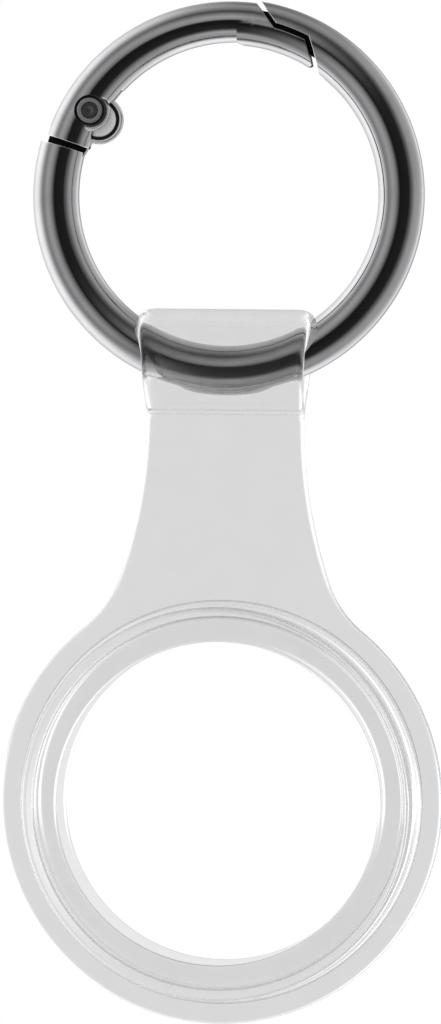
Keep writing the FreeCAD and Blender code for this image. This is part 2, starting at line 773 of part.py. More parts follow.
def make_tag_holder():
    """One soft moulding: loop, neck, flange and the lipped rim that grips the tag."""
    body = new_body("tag_holder", z=f"-{tag_drop}")
    plate = new_sketch(body, "XZ_Plane", "strap_plate")
    draw_plate(plate)
    pad = extrude(body, "Pad", plate, L.strap_thickness)
    face = value(strap_face)
    top = value(plate_top)
    hole = value(rim_middle)
    near = Part.Precision.confusion()

    def on_outline(edge):
        box = edge.BoundBox
        flat = box.YLength < near and abs(abs(box.Center.y) - face) < near
        at_top = box.ZMin > top - near
        round_hole = hasattr(edge.Curve, "Radius") and abs(edge.Curve.Radius - hole) < near
        return flat and not at_top and not round_hole

    fillet(body, pad, on_outline, L.strap_edge_radius)

    loop = new_sketch(body, "YZ_Plane", "loop_outside")
    draw_teardrop(loop, loop_outside, strap_face, crease_height)
    loop_half = f"({strap_half} + {L.loop_flare})"
    across_loop = f"2 * ({loop_half} + {L.overrun})"
    extrude(body, "Pad", loop, across_loop)

    sides = new_sketch(body, "XZ_Plane", "loop_sides")
    loop_top = f"{loop_height} + {loop_outside}"
    past_side = f"{loop_half} + 2 * {L.overrun}"
    waist_in = f"({L.loop_flare} - {L.loop_waist_flare})"
    flare_span = f"({L.loop_flare_rise} + {L.loop_waist_fall})"
    flare_bend = f"({flare_span}^2 + {waist_in}^2) / (2 * {waist_in})"
    rounded = f"{loop_half} - {L.loop_corner_radius}"
    right = [
        (past_side, crease_height),
        (past_side, f"{loop_top} + {L.overrun}"),
        (rounded, f"{loop_top} + {L.overrun}"),
        (rounded, loop_top, L.loop_corner_radius, -1),
        (loop_half, f"{loop_top} - {L.loop_corner_radius}"),
        (loop_half, f"{loop_height} + {L.loop_flare_rise}", flare_bend, 1),
        (f"{strap_half} + {L.loop_waist_flare}", f"{loop_height} - {L.loop_waist_fall}"),
        (strap_half, crease_height),
    ]
    outline(sides, right)
    outline(sides, mirrored(right, "x"))
    extrude(body, "Pocket", sides, f"2 * ({loop_outside} + {L.overrun})")

    bore = new_sketch(body, "YZ_Plane", "loop_bore")
    draw_teardrop(bore, loop_bore, "0", f"{loop_height} - {loop_bore} / sin({flank_angle})")
    extrude(body, "Pocket", bore, across_loop)

    mouth = new_sketch(body, "XZ_Plane", "loop_mouths", y=loop_height)
    start = f"{loop_half} - {L.loop_mouth_bevel}"
    bevel = [
        (f"{start} - {L.overrun}", f"{loop_bore} - {L.overrun}"),
        (f"{loop_half} + {L.overrun}", f"{loop_bore} - {L.overrun}"),
        (f"{loop_half} + {L.overrun}", f"{loop_bore} + {L.loop_mouth_bevel} + {L.overrun}"),
    ]
    outline(mouth, bevel)
    outline(mouth, mirrored(bevel, "x"))
    revolve(body, "Groove", mouth, axis="H_Axis")

    rim = new_sketch(body, "XY_Plane", "rim_section")
    pocket_half = f"({L.pocket_depth} / 2)"
    rim_half = f"({pocket_half} + {L.lip_thickness})"
    window = f"({pocket_radius} - {L.lip_reach})"
    front = [
        (f"{rim_radius} + {L.rim_root_radius}", strap_face, L.rim_root_radius, -1),
        (rim_radius, f"{strap_face} + {L.rim_root_radius}"),
        (rim_radius, f"{rim_half} - {L.rim_shoulder_radius}", L.rim_shoulder_radius, 1),
        (f"{rim_radius} - {L.rim_shoulder_radius}", rim_half),
        (f"{window} + {L.lip_edge_radius}", rim_half, L.lip_edge_radius, 1),
        (window, f"{rim_half} - {L.lip_edge_radius}"),
        (window, f"{pocket_half} + {L.lip_edge_radius}", L.lip_edge_radius, 1),
        (f"{window} + {L.lip_edge_radius}", pocket_half),
        (f"{pocket_radius} - {L.pocket_corner_radius}", pocket_half, L.pocket_corner_radius, -1),
        (pocket_radius, f"{pocket_half} - {L.pocket_corner_radius}"),
    ]
    outline(rim, front + mirrored(front, "y"))
    revolve(body, "Revolution", rim)
    return body


bodies = [
    make_ring_body(),
    make_gate(),
    make_hinge_rivet(),
    make_gate_spring(),
    make_tag_holder(),
]
doc.recompute()

# Nothing is written unless every object is sound
for item in doc.Objects:
    if {"Invalid", "Error"} & set(item.State):
        raise RuntimeError(f"{item.Label} failed: {item.State}")
for body in bodies:
    if body.Shape.isNull() or not body.Shape.isValid() or len(body.Shape.Solids) != 1:
        raise RuntimeError(f"{body.Label} has no sound single solid")

os.makedirs("parts", exist_ok=True)
for body in bodies:
    body.Shape.exportStep(f"parts/{body.Label}.step")
    box = body.Shape.BoundBox
    print(f"{body.Label}: volume {body.Shape.Volume:.1f}, box {box}")
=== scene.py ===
"""Looks of a clear tracker tag holder on a sprung metal ring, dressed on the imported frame."""
import json
from math import acos, asin, atan, atan2, cos, hypot, pi, radians, sin, sqrt, tan

import bmesh
import bpy
from mathutils import Matrix, Vector
from mathutils.geometry import tessellate_polygon


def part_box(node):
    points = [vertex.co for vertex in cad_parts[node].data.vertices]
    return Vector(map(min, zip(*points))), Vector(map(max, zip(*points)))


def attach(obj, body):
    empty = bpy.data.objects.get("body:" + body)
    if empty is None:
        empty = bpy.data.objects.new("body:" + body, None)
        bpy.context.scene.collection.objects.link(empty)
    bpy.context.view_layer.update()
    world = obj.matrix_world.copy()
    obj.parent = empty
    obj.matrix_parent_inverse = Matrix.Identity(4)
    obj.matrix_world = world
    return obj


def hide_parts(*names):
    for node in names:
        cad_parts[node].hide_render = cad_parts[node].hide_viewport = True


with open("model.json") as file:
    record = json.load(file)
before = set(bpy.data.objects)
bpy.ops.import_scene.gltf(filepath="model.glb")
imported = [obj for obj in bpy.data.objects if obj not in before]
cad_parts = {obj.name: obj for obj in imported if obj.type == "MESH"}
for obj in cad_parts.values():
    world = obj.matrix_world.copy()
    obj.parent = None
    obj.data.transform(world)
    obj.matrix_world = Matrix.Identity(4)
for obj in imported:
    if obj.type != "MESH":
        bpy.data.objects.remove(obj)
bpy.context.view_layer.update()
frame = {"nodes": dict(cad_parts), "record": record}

MM = 0.001
record = frame["record"]
joints = {joint["name"]: joint for joint in record["behaviour"]["joints"]}
mounts = {mount["name"]: mount for mount in record["mounts"]}

# What the frame says of the holder, in millimetres
holder_low, holder_high = (Vector(corner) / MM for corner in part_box("tag_holder"))
ring_low = Vector(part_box("ring_body")[0]) / MM
loop_height = joints["holder_swing"]["pos_m"][2] / MM
loop_outside = holder_high.z - loop_height
flange_radius = holder_high.x
tag_height = holder_low.z + flange_radius
window_radius = mounts["tag_window"]["dims"]["r_mm"]
rim_face = abs(mounts["front_rim"]["pos_m"][1]) / MM

# Sizes of the holder's own mesh, in millimetres
strap_half_width = 6.8
strap_face = 1.0
strap_edge = 0.5
neck_sweep = 43.0
neck_shoulder = 9.0
crease_height = ring_low.z - 1.9
crease_radius = 1.2
fold_radius = 0.35
loop_wall = 1.05
loop_edge = 0.55
loop_flare = 0.7
loop_waist_flare = 0.25
loop_flare_height = loop_height + 2.55
loop_waist_height = loop_height - 0.25
loop_corner = 0.8
rim_radius = flange_radius - 2.05
rim_wall = 1.0
rim_root = 0.4
rim_shoulder = 1.2
pocket_corner = 0.4
lip_thickness = 0.9
lip_edge = 0.3

# Sizes of the ring's finish and its painted light, in millimetres: cut faces painted dark as shade,
# rounded edges with a painted highlight, and the tongue's turned end
cut_depth = 1.25
edge_round = 0.12
pivot = Vector(joints["gate_hinge"]["pos_m"]) / MM
cam_offset = Vector((0.655, 0, -0.702))
cam_centre = pivot + cam_offset
# The turned end's rounded rim carries a painted dark reflection, in a band between these two radii
cam_dark_arc = 1.43
cam_rim = 1.75
cam_blend = 0.1
# Painted shade in the recess round the rivet, out to this radius
recess_radius = 1.3
slot_offset = Vector((1.16, 0, 0.34))
slot_centre = pivot + slot_offset
slot_reach = 3.5
# The rivet head has painted shade in its middle and a painted highlight in a band round it
rivet_shaded_middle = 0.6
rivet_highlight_band = (0.74, 0.98)

# Angles round the ring that hold the nose's and the hinge's gaps, and the blend at their ends, in degrees
NOSE_SPAN = (46, 82)
HINGE_SPAN = (134, 170)
GAP_BLEND = 1

# The metals' tones, with their painted shade and highlights, and roughness; pairs are the least and the
# most
PLATING_TONES = ((0.41, 0.41, 0.42), (0.46, 0.46, 0.47))
PLATING_POLISH = (0.03, 0.08)
# Painted highlight: a pale tone on the rounded edges at the gaps
EDGE_HIGHLIGHT_TONE = 0.85
# Painted shade: the cut faces and the deep flat faces in the gaps are near black
GAP_SHADE_TONE = 0.03
CUT_ROUGHNESS = 0.5
TURNED_TONE = 0.6
# Painted dark reflection on the turned end's rounded rim
DARK_ARC_TONE = 0.05
# Painted shade in the recess round the rivet
RECESS_SHADE_TONE = 0.08
RIVET_TONES = ((0.2, 0.2, 0.21), (0.3, 0.3, 0.31))
RIVET_POLISH = (0.15, 0.4)
RIVET_METALLIC = 0.9
# Painted shade in the rivet head's middle, and a painted highlight in a less metallic band round it
RIVET_SHADED_MIDDLE_TONE = 0.12
RIVET_HIGHLIGHT_TONE = 0.2
RIVET_HIGHLIGHT_METALLIC = 0.45
SPRING_TONES = ((0.45, 0.45, 0.45), (0.52, 0.52, 0.53))
SPRING_POLISH = (0.25, 0.4)

# How far normals lean where the wire is cut, where it has flat faces and where its edges are rounded and
# carry a painted highlight
CUT_LEAN = (0.5, 0.75)
FACE_LEAN = (0.7, 0.9)
HIGHLIGHT_LEAN = (0.995, 0.95)
BEVEL_SAMPLES = 6

# The plastic's three skins: name, darkest and lightest tone, and roughness
PLASTIC_IOR = 1.36
PLASTIC_SKINS = (
    ("clear_tpu", 0.7, 0.72, (0.02, 0.05)),
    ("clear_tpu_inside", 0.985, 1.0, (0.02, 0.05)),
    ("clear_tpu_edge", 0.96, 1.0, (0.25, 0.35)),
)

# Sizes and depths of the materials' grain, in millimetres, with its strength and detail
cloud_size = 3.0
speck_size = 0.1
mottle_size = 0.3
streak_width = 0.12
STREAK_STRETCH = 4
skin_size = 2.5
gloss_size = 0.4
streak_relief = 0.0015
STREAK_STRENGTH = 0.3
rivet_relief = 0.004
RIVET_STRENGTH = 0.4
spring_relief = 0.002
SPRING_STRENGTH = 0.25
skin_relief = 0.004
SKIN_STRENGTH = 0.3
SKIN_DETAIL = 2.0
CLOUD_DETAIL = 3.0
SPECK_DETAIL = 4.0
NOISE_SPAN = (0.3, 0.7)

# The looped strap's sides run down at an angle to the crease, which is a soft fold
crease_drop = loop_height - crease_height
flank_angle = asin(loop_outside / hypot(crease_drop, strap_face)) - atan(strap_face / crease_drop)
foot_height = crease_height - crease_radius * tan(flank_angle / 2)

# How finely the curves are divided
EDGE_STEPS = 6
ROUND_STEPS = 10
RING_STEPS = 240
STRAP_STEPS = 24
edge_strip = 2 * (strap_half_width - strap_edge) / STRAP_STEPS
rim_strip = 0.25
LOOP_STEPS = 48
FLANK_STEPS = 10
weld_distance = 0.0005
SMOOTH_ANGLE = radians(35)

# The plastic's skins, and how far a face leans to count as an edge
OUTER_SKIN, INNER_SKIN, EDGE_SKIN = range(3)
EDGE_LEAN = 0.3

# The photograph's view: it looks at the front from a little to the right, with a slight lean
VIEW_AZIMUTH = radians(5.3)
VIEW_LEAN = radians(0.728)
VIEW_DISTANCE = 500.0
VIEW_CENTRE = Vector((-0.344, 0.0, -27.385))
FRAME_HEIGHT = 88.576
SENSOR = 36.0
VIEW_NEAR = 10.0
VIEW_FAR = 10000.0

# The floor and the lamp, in millimetres
floor_drop = 100
floor_radius = 1100
floor_cloud = 60
FLOOR_SIDES = 128
FLOOR_TONES = ((0.79, 0.79, 0.79), (0.82, 0.82, 0.82))
FLOOR_ROUGHNESS = 0.6
lamp_size = 500
lamp_place = Vector((-150, -200, 700))
LAMP_POWER = 3.0

# The studio faces the way that the ring's front mirrors the camera, and is given by how bright it is
# at angles from there, in degrees, to the right, left, top and bottom
STUDIO_RISE = radians(3)
STUDIO_RIGHT = (
    (0, 0.02), (46, 0.03), (60, 0.2), (78, 0.6), (105, 0.72), (125, 1.0), (140, 1.6), (165, 0.5))
STUDIO_LEFT = (
    (0, 0.04), (6, 0.16), (20, 0.5), (34, 0.68), (58, 0.4), (70, 0.75), (88, 1.7), (108, 2.0), (165, 0.5))
STUDIO_TOP = (
    (0, 0.03), (4, 0.1), (10, 0.5), (24, 0.68), (55, 0.1), (73, 0.38), (94, 0.55), (120, 0.28), (165, 0.5))
STUDIO_BOTTOM = (
    (0, 0.01), (42, 0.04), (50, 0.2), (62, 0.75), (98, 0.45), (121, 2.0), (145, 1.5), (165, 0.5))
UPRIGHT_FOCUS = 6.0

# Cards that show through the plastic: white behind it, brighter to the sides and greyer in front
SIDE_CARDS = 1.9
FRONT_CARDS = 0.78
CARD_TURN = (-0.995, -0.93)
CARD_FOOT = (-0.17, -0.05)
CARD_FRONT = (-0.6, -0.15)

# Light has met the metal through the loop once it has one reflection and crossed both of the loop's walls
MET_METAL = 0.5
CROSSED_WALLS = 3.5
LIGHT_BOUNCES = 32
NEAR_ZERO = 0.001


def arc(centre, radius, start, end, steps):
    """Points on a flat arc, both ends included."""
    angles = [start + (end - start) * step / steps for step in range(steps + 1)]
    return [centre + Vector((cos(angle), sin(angle))) * radius for angle in angles]


def add_grid(mesh, rows, closed=False, wrapped=False):
    """Quads between rows of points. Closed joins each row's ends, wrapped the last row to the first."""
    made = [[mesh.verts.new(point) for point in row] for row in rows]
    count = len(rows[0])
    row_pairs = list(zip(made, made[1:]))
    if wrapped:
        row_pairs.append((made[-1], made[0]))
    for one, other in row_pairs:
        for column in range(count if closed else count - 1):
            after = (column + 1) % count
            mesh.faces.new((one[column], one[after], other[after], other[column]))


def add_fill(mesh, outside, hole):
    """A flat face with a round hole, as triangles."""
    points = [mesh.verts.new(point) for point in outside + hole]
    for triangle in tessellate_polygon([outside, hole]):
        mesh.faces.new([points[index] for index in triangle])


def neck_outline():
    """Points and outward directions of the plate's edge, from the crease's right end to its left."""
    big = Vector((strap_half_width + neck_sweep, foot_height - tag_height))
    apart = flange_radius + neck_shoulder
    far = big.length
    cosine = (apart ** 2 + far ** 2 - (neck_sweep - neck_shoulder) ** 2) / (2 * apart * far)
    bearing = atan2(big.y, big.x) + acos(cosine)
    small = Vector((cos(bearing), sin(bearing))) * apart
    turn = atan2(small.y - big.y, small.x - big.x) % (2 * pi)
    sweep = arc(big, neck_sweep, pi, turn, 3 * ROUND_STEPS)
    shoulder = arc(small, neck_shoulder, turn, bearing + pi, 2 * ROUND_STEPS)
    flange = arc(Vector((0, 0)), flange_radius, bearing, -pi / 2, RING_STEPS * 2 // 5)
    side = [(point, (big - point).normalized()) for point in sweep[:-1]]
    side += [(point, (small - point).normalized()) for point in shoulder[:-1]]
    side += [(point, point.normalized()) for point in flange]
    flip = Vector((-1, 1))
    mirrored = [(point * flip, out * flip) for point, out in reversed(side[:-1])]
    return side + mirrored


def edge_profile():
    """The plate's rounded edge as insets from the outline and depths, from front to back."""
    inner = strap_face - strap_edge
    front = [(strap_edge + edge_strip, -strap_face)]
    for step in range(EDGE_STEPS + 1):
        angle = pi / 2 * step / EDGE_STEPS
        front.append((strap_edge * (1 - sin(angle)), -inner - strap_edge * cos(angle)))
    back = [(inset, -depth) for inset, depth in reversed(front)]
    return front + [(0.0, 0.0)] + back


def rim_profile():
    """The rim's section as radii and depths, from its front root over both lips to its back root."""
    wall = rim_radius
    pocket = wall - rim_wall
    inside_face = rim_face - lip_thickness
    front = [Vector((wall + rim_root + rim_strip, -strap_face))]
    front += arc(Vector((wall + rim_root, -strap_face - rim_root)), rim_root, pi / 2, pi, EDGE_STEPS)
    shoulder_centre = Vector((wall - rim_shoulder, rim_shoulder - rim_face))
    front += arc(shoulder_centre, rim_shoulder, 0, -pi / 2, ROUND_STEPS)
    edge_centre = window_radius + lip_edge
    front += arc(Vector((edge_centre, lip_edge - rim_face)), lip_edge, -pi / 2, -pi, EDGE_STEPS)
    front += arc(Vector((edge_centre, -inside_face - lip_edge)), lip_edge, pi, pi / 2, EDGE_STEPS)
    corner_centre = Vector((pocket - pocket_corner, pocket_corner - inside_face))
    front += arc(corner_centre, pocket_corner, -pi / 2, 0, ROUND_STEPS)
    back = [Vector((point.x, -point.y)) for point in reversed(front)]
    return front + back


def loop_half_width(height):
    """Half the strap's width where it loops over the ring: narrow at the crease, flared at the top."""
    if height < loop_waist_height:
        share = max(0.0, (height - crease_height) / (loop_waist_height - crease_height))
        return strap_half_width + loop_waist_flare * share
    share = min(1.0, (height - loop_waist_height) / (loop_flare_height - loop_waist_height))
    eased = share * share * (3 - 2 * share)
    width = strap_half_width + loop_waist_flare + (loop_flare - loop_waist_flare) * eased
    into_corner = height - (loop_height + loop_outside - loop_corner)
    if into_corner > 0:
        width -= loop_corner - sqrt(max(0.0, loop_corner ** 2 - into_corner ** 2))
    return width


def loop_stations():
    """Outside and inside points of the looped strap, as depth and height, from front foot to back."""
    bore = loop_outside - loop_wall
    axis = Vector((0, loop_height))
    fold_centre = Vector((-strap_face - crease_radius, foot_height))
    fold = arc(fold_centre, crease_radius, 0, flank_angle, EDGE_STEPS)
    inner_fold_centre = axis - Vector((0, (bore - fold_radius) / sin(flank_angle)))
    inner_fold = arc(inner_fold_centre, fold_radius, -pi / 2, flank_angle - pi, EDGE_STEPS)
    start = pi + flank_angle
    outside_round = arc(axis, loop_outside, start, pi / 2, LOOP_STEPS)
    inside_round = arc(axis, bore, start, pi / 2, LOOP_STEPS)
    front = list(zip(fold, inner_fold))
    for step in range(1, FLANK_STEPS):
        share = step / FLANK_STEPS
        outside = fold[-1].lerp(outside_round[0], share)
        inside = inner_fold[-1].lerp(inside_round[0], share)
        front.append((outside, inside))
    front += zip(outside_round, inside_round)
    flip = Vector((-1, 1))
    back = [(outside * flip, inside * flip) for outside, inside in reversed(front[:-1])]
    return front + back


def loop_section(outside, inside):
    """One closed section of the looped strap: its outside, right edge, inside and left edge."""
    share = min(1.0, max(0.0, (outside.y - crease_height) / (loop_waist_height - crease_height)))
    rounding = strap_edge + (loop_edge - strap_edge) * share

    def flat(point):
        reach = loop_half_width(point.y) - rounding
        places = [reach * (2 * step / STRAP_STEPS - 1) for step in range(STRAP_STEPS + 1)]
        return [Vector((place, point.x, point.y)) for place in places]

    right = []
    for step in range(1, EDGE_STEPS + 1):
        angle = pi * step / (EDGE_STEPS + 1)
        point = outside.lerp(inside, (1 - cos(angle)) / 2)
        reach = loop_half_width(point.y) - rounding * (1 - sin(angle))
        right.append(Vector((reach, point.x, point.y)))
    left = [Vector((-point.x, point.y, point.z)) for point in reversed(right)]
    return flat(outside) + right + flat(inside)[::-1] + left


def right_edge(section):
    """The points of a section's right edge, from the outside face to the inside face."""
    return section[STRAP_STEPS:STRAP_STEPS + EDGE_STEPS + 2]


def skin_of(face):
    """Which of the plastic's skins a face has: outside, inside of the pocket or loop, or edge."""
    middle = face.calc_center_median()
    spoke = Vector((middle.x, 0, middle.z - tag_height))
    if middle.z > foot_height:
        heart = Vector((middle.x, 0, loop_height))
        on_edge = abs(face.normal.x) > EDGE_LEAN
    else:
        heart = spoke.normalized() * (window_radius + lip_edge) + Vector((0, 0, tag_height))
        on_edge = spoke.length > rim_radius + rim_root and abs(face.normal.y) < 1 - EDGE_LEAN
    if on_edge:
        return EDGE_SKIN
    return INNER_SKIN if face.normal.dot(heart - middle) > 0 else OUTER_SKIN


def holder_mesh():
    """The holder as one closed skin: plate, rim with two lips, and the strap looped over the ring."""
    mesh = bmesh.new()
    profile = edge_profile()
    edge_rows = []
    for point, out in neck_outline():
        row = []
        for inset, depth in profile:
            place = point - out * inset
            row.append(Vector((place.x, depth, place.y + tag_height)))
        edge_rows.append(row)
    add_grid(mesh, edge_rows)

    rim_section = rim_profile()
    rim_rows = []
    for step in range(RING_STEPS):
        angle = 2 * pi * step / RING_STEPS
        row = [Vector((p.x * cos(angle), p.y, p.x * sin(angle) + tag_height)) for p in rim_section]
        rim_rows.append(row)
    add_grid(mesh, rim_rows, wrapped=True)

    sections = [loop_section(outside, inside) for outside, inside in loop_stations()]
    add_grid(mesh, sections, closed=True)

    # The flat faces lie between the edge's strips, the crease and the rim's root
    for side, foot in ((0, sections[0]), (-1, sections[-1])):
        outside = [row[side] for row in edge_rows] + foot[2:STRAP_STEPS - 1]
        add_fill(mesh, outside, [row[side] for row in rim_rows])

    # The plate's edge meets the looped strap's edge at the crease, on both sides
    foot_edge = right_edge(sections[0]) + right_edge(sections[-1])[-2::-1]
    mirrored_edge = [Vector((-point.x, point.y, point.z)) for point in foot_edge]
    add_grid(mesh, [edge_rows[0][1:-1], foot_edge])
    add_grid(mesh, [edge_rows[-1][1:-1], mirrored_edge])

    bmesh.ops.remove_doubles(mesh, verts=mesh.verts, dist=weld_distance)
    bmesh.ops.recalc_face_normals(mesh, faces=mesh.faces)
    for face in mesh.faces:
        face.material_index = skin_of(face)
    bmesh.ops.scale(mesh, vec=(MM, MM, MM), verts=mesh.verts)
    return mesh


def new_object(name, mesh, materials, smooth_angle):
    """An object from a bmesh, smooth but for its sharp edges."""
    data = bpy.data.meshes.new(name)
    mesh.to_mesh(data)
    mesh.free()
    data.shade_smooth()
    data.set_sharp_from_angle(angle=smooth_angle)
    for material in materials:
        data.materials.append(material)
    made = bpy.data.objects.new(name, data)
    bpy.context.scene.collection.objects.link(made)
    return made


def new_material(name):
    """A material with a Principled surface; returns it with its node tree and shader."""
    material = bpy.data.materials.new(name)
    material.use_nodes = True
    tree = material.node_tree
    return material, tree, tree.nodes["Principled BSDF"]


def math_node(tree, operation, first, second=None):
    """One arithmetic step between node outputs or plain numbers."""
    node = tree.nodes.new("ShaderNodeMath")
    node.operation = operation
    for value, socket in zip((first, second), node.inputs):
        if isinstance(value, (int, float)):
            socket.default_value = value
        elif value is not None:
            tree.links.new(value, socket)
    return node.outputs["Value"]


def squared(tree, value):
    """A value times itself."""
    return math_node(tree, "POWER", value, 2.0)


def length_of(tree, first, second):
    """The length of two sides of a right angle."""
    squares = math_node(tree, "ADD", squared(tree, first), squared(tree, second))
    return math_node(tree, "SQRT", squares)


def step_up(tree, value, start, end):
    """Rises smoothly from 0 to 1 between two values."""
    ramp = tree.nodes.new("ShaderNodeMapRange")
    ramp.interpolation_type = "SMOOTHSTEP"
    ramp.inputs["From Min"].default_value = start
    ramp.inputs["From Max"].default_value = end
    tree.links.new(value, ramp.inputs["Value"])
    return ramp.outputs["Result"]


def between(tree, value, low, high, blend):
    """1 between two values, falling to 0 over a short blend on both sides."""
    rise = step_up(tree, value, low, low + blend)
    return math_node(tree, "MULTIPLY", rise, step_up(tree, value, high + blend, high))


def blend_values(tree, share, first, second):
    """Mixes two brightnesses."""
    node = tree.nodes.new("ShaderNodeMix")
    for value, socket in ((share, "Factor"), (first, "A"), (second, "B")):
        if isinstance(value, (int, float)):
            node.inputs[socket].default_value = value
        else:
            tree.links.new(value, node.inputs[socket])
    return node.outputs["Result"]


def mix_colours(tree, share, first, second):
    """Mixes two colours, each a node output or a grey level."""
    node = tree.nodes.new("ShaderNodeMix")
    node.data_type = "RGBA"
    sockets = {socket.identifier: socket for socket in node.inputs}
    tree.links.new(share, sockets["Factor_Float"])
    for value, name in ((first, "A_Color"), (second, "B_Color")):
        if isinstance(value, float):
            sockets[name].default_value = (value, value, value, 1)
        else:
            tree.links.new(value, sockets[name])
    return next(socket for socket in node.outputs if socket.identifier == "Result_Color")


def noise(tree, size, detail):
    """Noise whose grains are about size metres across, fixed to the piece."""
    place = tree.nodes.new("ShaderNodeTexCoord")
    texture = tree.nodes.new("ShaderNodeTexNoise")
    texture.inputs["Scale"].default_value = 1 / size
    texture.inputs["Detail"].default_value = detail
    tree.links.new(place.outputs["Object"], texture.inputs["Vector"])
    return texture.outputs["Fac"]


def spread(tree, value, low, high):
    """A noise value spread over a range."""
    ramp = tree.nodes.new("ShaderNodeMapRange")
    ramp.inputs["From Min"].default_value = NOISE_SPAN[0]
    ramp.inputs["From Max"].default_value = NOISE_SPAN[1]
    ramp.inputs["To Min"].default_value = low
    ramp.inputs["To Max"].default_value = high
    tree.links.new(value, ramp.inputs["Value"])
    return ramp.outputs["Result"]


def shade(tree, value, low, high):
    """Two colours mixed by a noise value."""
    ramp = tree.nodes.new("ShaderNodeValToRGB")
    ramp.color_ramp.elements[0].position = NOISE_SPAN[0]
    ramp.color_ramp.elements[0].color = (*low, 1)
    ramp.color_ramp.elements[1].position = NOISE_SPAN[1]
    ramp.color_ramp.elements[1].color = (*high, 1)
    tree.links.new(value, ramp.inputs["Fac"])
    return ramp.outputs["Color"]


def bump(tree, shader, value, depth, strength):
    """Relief of a given depth, in metres."""
    relief = tree.nodes.new("ShaderNodeBump")
    relief.inputs["Distance"].default_value = depth
    relief.inputs["Strength"].default_value = strength
    tree.links.new(value, relief.inputs["Height"])
    tree.links.new(relief.outputs["Normal"], shader.inputs["Normal"])
    return relief


def object_point(tree):
    """The surface point's x, y and z in the frame's own axes, in metres."""
    place = tree.nodes.new("ShaderNodeTexCoord")
    split = tree.nodes.new("ShaderNodeSeparateXYZ")
    tree.links.new(place.outputs["Object"], split.inputs["Vector"])
    return tuple(split.outputs[axis] for axis in "XYZ")


def drawn_streaks(tree, width):
    """Fine streaks that run along the ring's wire."""
    x, y, z = object_point(tree)
    along = math_node(tree, "MULTIPLY", math_node(tree, "ARCTAN2", z, x), width * STREAK_STRETCH)
    join = tree.nodes.new("ShaderNodeCombineXYZ")
    for value, socket in ((along, "X"), (y, "Y"), (length_of(tree, x, z), "Z")):
        tree.links.new(value, join.inputs[socket])
    texture = tree.nodes.new("ShaderNodeTexNoise")
    texture.inputs["Scale"].default_value = 1 / width
    texture.inputs["Detail"].default_value = CLOUD_DETAIL
    tree.links.new(join.outputs["Vector"], texture.inputs["Vector"])
    return texture.outputs["Fac"]


def inner_faces(tree):
    """Where the wire is cut across, and the flat faces deep inside it: the mask for the painted shade in
    the gaps and for the tongue's dull end.
    """
    x, y, z = object_point(tree)
    facing = tree.nodes.new("ShaderNodeSeparateXYZ")
    place = tree.nodes.new("ShaderNodeTexCoord")
    tree.links.new(place.outputs["Normal"], facing.inputs["Vector"])
    across = math_node(tree, "SUBTRACT", math_node(tree, "MULTIPLY", x, facing.outputs["Z"]),
                       math_node(tree, "MULTIPLY", z, facing.outputs["X"]))
    across = math_node(tree, "ABSOLUTE", math_node(tree, "DIVIDE", across, length_of(tree, x, z)))
    flat = step_up(tree, math_node(tree, "ABSOLUTE", facing.outputs["Y"]), *FACE_LEAN)
    deep = math_node(tree, "LESS_THAN", math_node(tree, "ABSOLUTE", y), cut_depth * MM)
    cut = step_up(tree, across, *CUT_LEAN)
    return math_node(tree, "MAXIMUM", cut, math_node(tree, "MULTIPLY", flat, deep))


def distance_from(tree, centre):
    """The distance from an axis along the ring's own axis, in metres."""
    x, _, z = object_point(tree)
    from_x = math_node(tree, "SUBTRACT", x, centre.x * MM)
    from_z = math_node(tree, "SUBTRACT", z, centre.z * MM)
    return length_of(tree, from_x, from_z)


def around_hinge(tree):
    """Where the tongue's round end and the slot that it turns in are, clear of the hinge's gap."""
    off = distance_from(tree, slot_centre)
    return step_up(tree, off, (slot_reach + cam_blend) * MM, slot_reach * MM)


def rounded_normal_and_highlight(tree):
    """Normals rounded over the edges at the gaps, and how far they lean away from the faces there, which
    sets where a highlight is painted.
    """
    bevel = tree.nodes.new("ShaderNodeBevel")
    bevel.samples = BEVEL_SAMPLES
    bevel.inputs["Radius"].default_value = edge_round * MM
    geometry = tree.nodes.new("ShaderNodeNewGeometry")
    agreement = tree.nodes.new("ShaderNodeVectorMath")
    agreement.operation = "DOT_PRODUCT"
    tree.links.new(bevel.outputs["Normal"], agreement.inputs[0])
    tree.links.new(geometry.outputs["Normal"], agreement.inputs[1])
    x, _, z = object_point(tree)
    angle = math_node(tree, "ARCTAN2", z, x)
    at_gaps = 0.0
    for low, high in (NOSE_SPAN, HINGE_SPAN):
        near = between(tree, angle, radians(low), radians(high), radians(GAP_BLEND))
        at_gaps = math_node(tree, "MAXIMUM", near, at_gaps)
    leaning = step_up(tree, agreement.outputs["Value"], *HIGHLIGHT_LEAN)
    rounded = tree.nodes.new("ShaderNodeMix")
    rounded.data_type = "VECTOR"
    sockets = {socket.identifier: socket for socket in rounded.inputs}
    tree.links.new(at_gaps, sockets["Factor_Float"])
    tree.links.new(geometry.outputs["Normal"], sockets["A_Vector"])
    tree.links.new(bevel.outputs["Normal"], sockets["B_Vector"])
    normal = next(socket for socket in rounded.outputs if socket.identifier == "Result_Vector")
    return normal, math_node(tree, "MULTIPLY", leaning, at_gaps)


def spring_metal():
    """Satin spring steel: slightly uneven tone and gloss, with a faint ripple."""
    material, tree, shader = new_material("spring_steel")
    shader.inputs["Metallic"].default_value = 1.0
    clouds = noise(tree, cloud_size * MM, CLOUD_DETAIL)
    tree.links.new(shade(tree, clouds, *SPRING_TONES), shader.inputs["Base Color"])
    specks = noise(tree, speck_size * MM, SPECK_DETAIL)
    tree.links.new(spread(tree, specks, *SPRING_POLISH), shader.inputs["Roughness"])
    bump(tree, shader, specks, spring_relief * MM, SPRING_STRENGTH)
    return material


